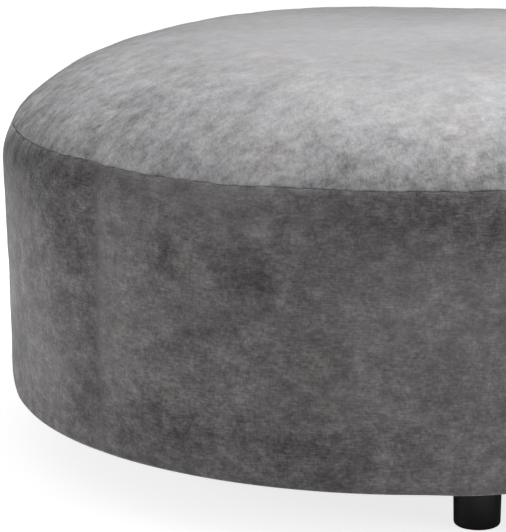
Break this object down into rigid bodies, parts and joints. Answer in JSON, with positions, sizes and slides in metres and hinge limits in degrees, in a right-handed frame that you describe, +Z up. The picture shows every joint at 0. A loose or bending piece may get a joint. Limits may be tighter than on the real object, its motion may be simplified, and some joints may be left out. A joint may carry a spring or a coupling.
{
  "type": "cocktail ottoman",
  "caption": "Round, low upholstered cocktail ottoman: a padded velvet drum with a domed top sewn on by a plain seam, on short round feet.",
  "frame": {"origin": "on the floor, under the middle of the round drum", "axes": "+Z up through the middle of the drum; -Y is the front, where the first foot stands"},
  "size_m": [0.964, 0.964, 0.4911],
  "materials": {
    "velvet": "grey chenille velvet with a slub weave, a mottled brushed nap and a pale sheen where the nap catches light",
    "underside_cloth": "plain black non-woven cloth stretched flat over the underside",
    "foot_plastic": "moulded black plastic, satin"
  },
  "bodies": {
    "root": {"crown": "velvet", "band_panel_1": "velvet", "band_panel_2": "velvet", "band_panel_3": "velvet", "base": "underside_cloth", "foot_1": "foot_plastic", "foot_2": "foot_plastic", "foot_3": "foot_plastic", "foot_4": "foot_plastic"}
  },
  "joints": []
}
